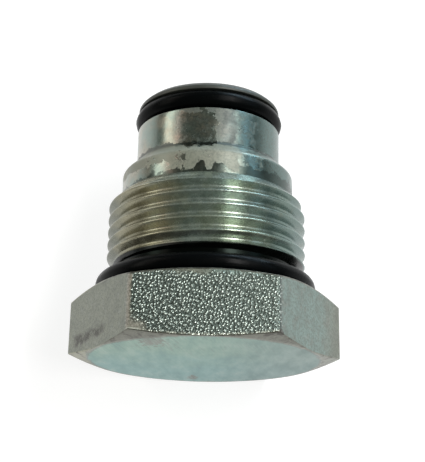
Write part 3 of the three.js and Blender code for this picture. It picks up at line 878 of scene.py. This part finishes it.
def end_face_finish():
    """The smooth outer face: blue-green plating, cream and scratched towards the top flat, with a
    dirty torn rim, a smudge that runs in from it and a small spot low down."""
    f = Finish("zinc_end_face")
    tall = f.vector("MULTIPLY", f.place, (1.0, 1.0, 0.3))
    patches = f.noise(2.4, detail=6, roughness=0.62, place=tall)
    scratched = f.turned("Y_AXIS", -77, (0.09, 1.0, 1.6))
    brushed = f.noise(0.7, detail=5, roughness=0.75, place=scratched)
    upper = f.times(f.fade(f.z, 2.0, 12.0, 0.3, 1.0), f.fade(f.noise(9, detail=1), 0.36, 0.5, 0.4, 1.0))
    torn = f.shifted(f.radius, f.noise(1.2, detail=6, roughness=0.7), 2.6)
    rim = FACE_CHAMFER_RADIUS + 0.7
    spots = f.larger(f.spot((-7.6, 0, 15.2), (2.2, 1.0, 4.6), 1.6),
                     f.spot((-2.0, 0, -14.8), (1.0, 1.0, 2.4), 1.2))
    base = f.coats(
        FACE_BLUE,
        (f.fade(f.shifted(f.z, f.noise(9), 24), 4.0, 22.0), FACE_CREAM),
        (f.fade(patches, 0.45, 0.75, 0.0, 0.5), FACE_COLD),
        (f.fade(patches, 0.3, 0.45, 0.4, 0.0), FACE_PALE),
        (f.times(f.fade(brushed, 0.5, 0.64, 0.0, 0.55), upper), SCRATCH),
        (f.times(f.fade(brushed, 0.34, 0.47, 0.5, 0.0), upper), SCRATCH_PALE),
        (f.fade(f.x, -2.0, 16.0, 0.0, 0.8), FACE_SHADE),
        (f.times(f.fade(torn, rim, rim + 0.6), 0.9), FACE_RIM),
        (f.times(f.band(torn, rim + 0.1, rim + 0.4, 0.15), 0.5), SMUDGE),
        (f.times(spots, f.fade(brushed, 0.38, 0.56, 0.45, 0.9)), FACE_DIRT),
    )
    relief = f.bump(f.noise(0.3, detail=2, place=f.by_radius()), 0.0025)
    relief = f.bump(brushed, 0.006, below=relief)
    return f.paint(base, f.fade(patches, 0.3, 0.7, 0.3, 0.4), relief)


def bore_finish():
    """Bored and plated steel with fine turning marks."""
    f = Finish("zinc_bore")
    base = f.mix(f.noise(2, detail=4), BORE_DARK, BORE_PALE)
    relief = f.bump(f.noise(0.3, detail=2, place=f.unrolled(0.02)), 0.004)
    return f.paint(base, 0.32, relief)


def rubber_finish():
    """Black nitrile rubber with an oily sheen and a little dust."""
    f = Finish("seal_rubber", metallic=0.0)
    f.shader.inputs["Specular IOR Level"].default_value = 0.045
    dust = f.fade(f.noise(0.35, detail=4, roughness=0.7), 0.66, 0.74)
    base = f.mix(f.times(dust, 0.25), RUBBER, DUST)
    relief = f.bump(f.noise(0.7, detail=4), 0.012)
    return f.paint(base, f.fade(f.noise(3), 0.35, 0.65, 0.22, 0.36), relief)


def metal_finish(name, light, dark, roughness, depth):
    """Machined metal with turning marks round the axis and a film of oil."""
    f = Finish(name)
    base = f.mix(f.noise(2.5, detail=4), dark, light)
    relief = f.bump(f.noise(0.3, place=f.unrolled(0.03)), depth)
    rough = f.fade(f.noise(1.2, detail=4), 0.3, 0.7, roughness, roughness + 0.12)
    return f.paint(base, rough, relief)


def strainer_finish():
    """Fine woven wire: two sets of ridges at right angles."""
    f = Finish("strainer")
    wires = f.larger(f.math("SINE", f.times(f.x, 20)), f.math("SINE", f.times(f.z, 20)))
    base = f.mix(f.fade(wires, -0.6, 0.8), WIRE_GAP, WIRE)
    return f.paint(base, 0.4, f.bump(wires, 0.05))


def make_finishes():
    """The finishes by slot. The body's slot has one for each kind of surface."""
    made = {name: metal_finish(name, *look) for name, look in METALS.items()}
    made["seal_rubber"] = rubber_finish()
    made["strainer"] = strainer_finish()
    made["zinc_plated_steel"] = {
        "end_face": end_face_finish(),
        "chamfers": chamfers_finish(),
        "flats": flats_finish(),
        "shank": shank_finish(),
        "thread": thread_finish(),
        "bore": bore_finish(),
    }
    return made


FINISHES = make_finishes()


# ---- Seals and turned pieces ----

def seal_ring(name, node, wire, forward):
    """An O-ring with the fine mould line that runs round its outside and inside.
    It lies that far forward of the CAD ring's middle."""
    low, high = (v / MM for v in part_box(node))
    outer, middle = high.x, (low.y + high.y) / 2 + forward
    phi = angles(SHANK_COLUMNS)
    rings = []
    for k in range(SEAL_STEPS + 1):
        turn = k % SEAL_STEPS * TURN / SEAL_STEPS
        thick = wire / 2 + MOULD_LINE * math.exp(-((math.sin(turn) * 14) ** 2))
        radius = outer - wire / 2 + thick * math.cos(turn) - MOULD_LINE
        rings.append((radius + 0 * phi, middle + thick * math.sin(turn) + 0 * phi))
    piece(name, skin(name, [placed(rings, phi)]), "housing", node, "seal_rubber")


def make_seals():
    seal_ring("head_seal_ring", "head_o_ring", HEAD_RING_WIRE, 0.0)
    seal_ring("nose_seal_ring", "nose_o_ring", NOSE_RING_WIRE, NOSE_RING_FORWARD)


def square_ring(inner, outer, y0, y1, edge=0.08):
    return [(inner, y0, edge), (outer, y0, edge), (outer, y1, edge), (inner, y1, edge)]


def make_bush():
    """A plain bush, chamfered outside where it is pressed in and inside where the poppet enters."""
    outer, chamfer = BORE_RADIUS - PRESS_GAP, 0.4
    y0 = BORE_FLOOR_Y + REST_GAP
    outline = [
        (BUSH_INNER_RADIUS, y0, 0.1),
        (outer - chamfer, y0, 0.1),
        (outer, y0 + chamfer, 0.1),
        (outer, BUSH_END_Y, 0.05),
        (BUSH_INNER_RADIUS + chamfer, BUSH_END_Y, 0.1),
        (BUSH_INNER_RADIUS, BUSH_END_Y - chamfer, 0.1),
    ]
    turned_piece("bronze_bush", outline, "housing", "guide_bush", "bronze")


# ---- Pieces in the bore ----

def make_stop_washer():
    """Three notches in the bore of the washer let oil past the poppet's neck."""
    inner, notch = NECK_RADIUS + 0.1, 0.9
    outer = BORE_RADIUS - PRESS_GAP
    columns = FINE_PART_COLUMNS
    from_notch = from_third(angles(columns))
    across = inner * np.sin(from_notch)
    arc = inner * np.cos(from_notch) + np.sqrt(np.maximum(notch**2 - across**2, 0))
    bore = np.where(np.abs(across) < notch, np.maximum(arc, inner), inner)
    outline = square_ring(bore, outer, WASHER_Y, WASHER_Y + WASHER_THICKNESS)
    turned_piece("stop_washer_ring", outline, "housing", "stop_washer", "plain_steel", columns)


def make_snap_ring():
    """An open ring of flat wire with soft edges and cropped ends. Its gap faces +X."""
    outer = SNAP_GROOVE_RADIUS - REST_GAP
    inner = outer - SNAP_RING_WIDTH
    y0, y1 = SNAP_GROOVE_Y[0] + REST_GAP, SNAP_GROOVE_Y[1] - REST_GAP
    edge, half_gap, end_taper = 0.16, math.radians(17), 0.02
    sections = []
    for step in range(SNAP_RING_STEPS + 1):
        phi = math.pi / 2 + half_gap + (TURN - 2 * half_gap) * step / SNAP_RING_STEPS
        soft = edge + (end_taper if step in (0, SNAP_RING_STEPS) else 0)
        corners = ((inner, y0, 1, 1), (outer, y0, -1, 1), (outer, y1, -1, -1), (inner, y1, 1, -1))
        loop = []
        for r, y, towards_r, towards_y in corners:
            around = ((0, 1), (0.3, 0.3), (1, 0))
            for along_r, along_y in around if towards_r == towards_y else around[::-1]:
                loop.append((r + towards_r * along_r * soft, y + towards_y * along_y * soft))
        sections.append([Vector((r * math.sin(phi), y, r * math.cos(phi))) * MM for r, y in loop])
    data = swept("snap_ring_wire", sections)
    piece("snap_ring_wire", data, "housing", "snap_ring", "spring_steel")


def make_spring_end():
    """Two setting shims and the seat with its pilot, at the closed end of the bore."""
    for i in range(2):
        y = CHAMBER_FLOOR_Y + REST_GAP + i * (SHIM_THICKNESS + REST_GAP)
        shim = square_ring(2, CHAMBER_RADIUS - 0.6, y, y + SHIM_THICKNESS, 0.04)
        name, node = f"setting_shim_{i + 1}", f"preload_shim_{i + 1}"
        turned_piece(name, shim, "housing", node, "plain_steel")
    flange = CHAMBER_RADIUS - 0.3
    pilot = RETURN_SPRING["radius"] - RETURN_SPRING["wire"] / 2 - 0.25
    outline = [
        (0, SPRING_SEAT_Y, 0),
        (flange, SPRING_SEAT_Y, 0.15),
        (flange, SPRING_SEAT_TOP, 0.15),
        (pilot, SPRING_SEAT_TOP, 0.15),
        (pilot, SPRING_SEAT_TOP + PILOT_HEIGHT - 1, 0.2),
        (pilot - 0.6, SPRING_SEAT_TOP + PILOT_HEIGHT, 0.15),
        (0, SPRING_SEAT_TOP + PILOT_HEIGHT, 0),
    ]
    turned_piece("spring_pilot", outline, "housing", "spring_seat", "plain_steel")


def coil(name, spring, y0, y1, dead_turns=1.0, steps=36, sides=14):
    """A round wire spring between two heights. Its first and last turns lie closed."""
    wire, radius, turns = spring["wire"], spring["radius"], spring["turns"]
    low, high = y0 + wire / 2, y1 - wire / 2
    closed_rise = wire * 0.92
    pitch = (high - low - 2 * dead_turns * closed_rise) / (turns - 2 * dead_turns)

    def height(turn):
        start = min(turn, dead_turns)
        end = max(turn - (turns - dead_turns), 0)
        return low + (start + end) * closed_rise + (turn - start - end) * pitch

    count = int(turns * steps)
    centres = []
    for i in range(count + 1):
        turn = turns * i / count
        phi = TURN * turn
        centres.append(Vector((radius * math.sin(phi), height(turn), radius * math.cos(phi))))
    sections = []
    round_wire = [TURN * k / sides for k in range(sides)]
    for i, centre in enumerate(centres):
        forward = (centres[min(i + 1, count)] - centres[max(i - 1, 0)]).normalized()
        outward = Vector((centre.x, 0, centre.z)).normalized()
        third = forward.cross(outward).normalized()
        outward = third.cross(forward)
        thick = wire / 2 * (0.93 if i in (0, count) else 1)
        sections.append([
            (centre + thick * (math.cos(turn) * outward + math.sin(turn) * third)) * MM
            for turn in round_wire
        ])
    return swept(name, sections)


def make_return_spring():
    """The spring stands on the housing and its front end moves with the poppet."""
    y0, y1 = SPRING_SEAT_TOP + REST_GAP, THRUST_Y - REST_GAP
    data = coil("poppet_spring", RETURN_SPRING, y0, y1)
    made = piece("poppet_spring", data, None, "return_spring", "spring_steel")
    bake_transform(made)


# ---- Poppet and relief valve ----

def skirt_radius(phi, radius):
    """The skirt's section: a circle of that radius with three flats that let oil along it."""
    flat = (SKIRT_RADIUS - OIL_FLAT_DEPTH) / np.cos(from_third(phi))
    return np.minimum(radius, flat)


def make_poppet():
    """The hollow poppet with its seat cone, and the ring that takes the spring's thrust."""
    columns = FINE_PART_COLUMNS
    phi = angles(columns)
    skirt = skirt_radius(phi, SKIRT_RADIUS)
    skirt_end = skirt_radius(phi, SKIRT_RADIUS - 0.4)
    outline = [
        (CAVITY_RADIUS, POPPET_REAR_Y, 0.15),
        (skirt_end, POPPET_REAR_Y, 0.08),
        (skirt, POPPET_REAR_Y + 0.4, 0.08),
        (skirt, BUSH_END_Y - 0.5, 0.08),
        (skirt_end, BUSH_END_Y, 0.08),
        (NECK_RADIUS, BUSH_END_Y, 0.1),
        (NECK_RADIUS, CONE_START_Y, 0.08),
        (CONE_END_RADIUS, POPPET_TIP_Y - 0.1, 0.08),
        (CONE_END_RADIUS - 0.1, POPPET_TIP_Y, 0.08),
        (POCKET_RADIUS + 0.2, POPPET_TIP_Y, 0.04),
        (POCKET_RADIUS, POPPET_TIP_Y - 0.2, 0.04),
        (POCKET_RADIUS, RELIEF_SEAT_Y, 0.1),
        (RELIEF_HOLE_RADIUS, RELIEF_SEAT_Y, 0.02),
        (RELIEF_HOLE_RADIUS, CAVITY_FLOOR_Y, 0.08),
        (CAVITY_RADIUS, CAVITY_FLOOR_Y, 0.25),
    ]
    turned_piece("poppet_cone", outline, "poppet", "poppet", "hardened_steel", columns)
    thrust = square_ring(2.5, CAVITY_RADIUS - 0.12, THRUST_Y, THRUST_Y + THRUST_THICKNESS)
    turned_piece("thrust_ring", thrust, "poppet", "thrust_washer", "plain_steel")


def make_relief_valve():
    """A ball on its seat, held by a guide, a spring and a shim under the cap."""
    ball_y = RELIEF_SEAT_Y + math.sqrt(BALL_RADIUS**2 - RELIEF_HOLE_RADIUS**2) + 0.03
    turns = [math.pi * k / BALL_STEPS for k in range(BALL_STEPS + 1)]
    outline = [(BALL_RADIUS * math.sin(turn), ball_y - BALL_RADIUS * math.cos(turn), 0) for turn in turns]
    turned_piece("ball", outline, "relief_ball", "relief_ball", "hardened_steel")
    guide_y = ball_y + BALL_RADIUS - 0.25
    guide_top = guide_y + GUIDE_THICKNESS
    outline = [
        (0, guide_y + 0.4, 0),
        (1.1, guide_y, 0.03),
        (POCKET_RADIUS - 0.15, guide_y, 0.1),
        (POCKET_RADIUS - 0.15, guide_top, 0.1),
        (GUIDE_PIN_RADIUS, guide_top, 0.1),
        (GUIDE_PIN_RADIUS, guide_top + GUIDE_PIN_HEIGHT, 0.15),
        (0, guide_top + GUIDE_PIN_HEIGHT, 0),
    ]
    turned_piece("ball_carrier", outline, "relief_ball", "ball_guide", "plain_steel")
    shim_y = CAP_Y[0] - REST_GAP - SHIM_THICKNESS
    y0, y1 = guide_top + REST_GAP, shim_y - REST_GAP
    data = coil("ball_spring", RELIEF_SPRING, y0, y1, dead_turns=0.5, steps=28, sides=12)
    made = piece("ball_spring", data, None, "relief_spring", "spring_steel")
    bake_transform(made)
    shim = square_ring(1, POCKET_RADIUS - 0.2, shim_y, shim_y + SHIM_THICKNESS, 0.04)
    turned_piece("pressure_shim", shim, "poppet", "relief_shim", "plain_steel")


def make_relief_cap():
    """A short cap screw with a hexagon socket right through it."""
    phi = angles(CAP_COLUMNS)
    socket = hexagon_radius(phi, SOCKET_ACROSS_FLATS, 0.05)
    mouth = np.maximum(socket, SOCKET_ACROSS_FLATS / 2 + 0.12)
    outer = POCKET_RADIUS - PRESS_GAP
    outline = [
        (socket, CAP_Y[0], 0.02),
        (outer, CAP_Y[0], 0.08),
        (outer, CAP_Y[1], 0.18),
        (mouth, CAP_Y[1], 0.02),
        (socket, CAP_Y[1] - (mouth - socket) - 0.03, 0.02),
    ]
    turned_piece("cap_screw", outline, "poppet", "relief_cap", "black_steel", CAP_COLUMNS)


def finish_strainer():
    """The strainer disc keeps its CAD shape and takes a woven wire finish."""
    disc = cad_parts["strainer_disc"]
    for slot in disc.material_slots:
        slot.material = FINISHES["strainer"]


# ---- Studio ----

def area_light(name, place, size, power, tint, target=(0, 20, 0)):
    """A soft rectangular light that faces the object. Place and size are in millimetres."""
    data = bpy.data.lights.new(name, "AREA")
    data.shape = "RECTANGLE"
    data.size, data.size_y = size[0] * MM, size[1] * MM
    data.energy = power
    data.color = tint
    light = bpy.data.objects.new(name, data)
    light.visible_camera = False
    bpy.context.scene.collection.objects.link(light)
    light.location = Vector(place) * MM
    direction = (Vector(target) - Vector(place)).normalized()
    light.rotation_euler = direction.to_track_quat("-Z", "Y").to_euler()


def make_floor():
    """A pale table that glows with painted light of its own, brightest round the object."""
    bpy.ops.mesh.primitive_plane_add(size=FLOOR_SIDE * MM, location=(0, 0, FLOOR_Z))
    floor = bpy.context.object
    floor.name = "floor"
    f = Finish("floor", metallic=0.0)
    distance = f.length(f.x, f.add(f.y, 40))
    glow = f.fade(distance, *FLOOR_GLOW_REACH, *FLOOR_GLOW)
    f.shader.inputs["Emission Color"].default_value = (1, 1, 1, 1)
    f.link(glow, f.shader.inputs["Emission Strength"])
    floor.data.materials.append(f.paint(FLOOR_GREY, 0.9))


def make_world():
    """Dim greenish room light on the object, with a plain pale backdrop behind it."""
    world = bpy.data.worlds.new("studio")
    bpy.context.scene.world = world
    world.use_nodes = True
    nodes, links = world.node_tree.nodes, world.node_tree.links
    room = nodes["Background"]
    room.inputs["Color"].default_value = ROOM
    room.inputs["Strength"].default_value = ROOM_STRENGTH
    backdrop = nodes.new("ShaderNodeBackground")
    backdrop.inputs["Color"].default_value = (1, 1, 1, 1)
    backdrop.inputs["Strength"].default_value = BACKDROP_STRENGTH
    seen = nodes.new("ShaderNodeLightPath").outputs["Is Camera Ray"]
    either = nodes.new("ShaderNodeMixShader")
    for i, source in enumerate((seen, room.outputs[0], backdrop.outputs[0])):
        links.new(source, either.inputs[i])
    links.new(either.outputs[0], nodes["World Output"].inputs["Surface"])


def make_lights():
    """Windows to the left, one with a pink blind beside it, and a bright one high on the right."""
    area_light("left_window", (-541, 193, 232), (700, 160), 0.85, WARM_WHITE)
    area_light("left_blind", (-467, 193, 358), (700, 80), 0.24, PINK)
    area_light("right_high", (305, 150, 490), (640, 150), 3.9, WHITE, target=(0, 150, 10))
    area_light("right_window", (520, 190, 270), (700, 70), 0.42, SKY)
    area_light("far_window", (300, 560, 90), (340, 130), 2.2, PALE_SKY)


def make_camera():
    """High in front of the hex end, tilted from straight down, with the part lying on a flat."""
    data = bpy.data.cameras.new("camera")
    data.lens = CAMERA_LENS
    camera = bpy.data.objects.new("camera", data)
    bpy.context.scene.collection.objects.link(camera)
    tilt = Matrix.Rotation(CAMERA_TILT, 4, "X")
    roll = Matrix.Rotation(CAMERA_ROLL, 4, "Z")
    camera.matrix_world = Matrix.Translation(Vector(CAMERA_PLACE) * MM) @ tilt @ roll
    bpy.context.scene.camera = camera


def main():
    for make in (make_body, make_seals, make_bush, make_stop_washer, make_snap_ring, make_spring_end,
                 make_return_spring, make_poppet, make_relief_valve, make_relief_cap, finish_strainer):
        make()
    make_floor()
    make_world()
    make_lights()
    make_camera()
    bpy.context.scene.view_settings.view_transform = "Standard"


main()
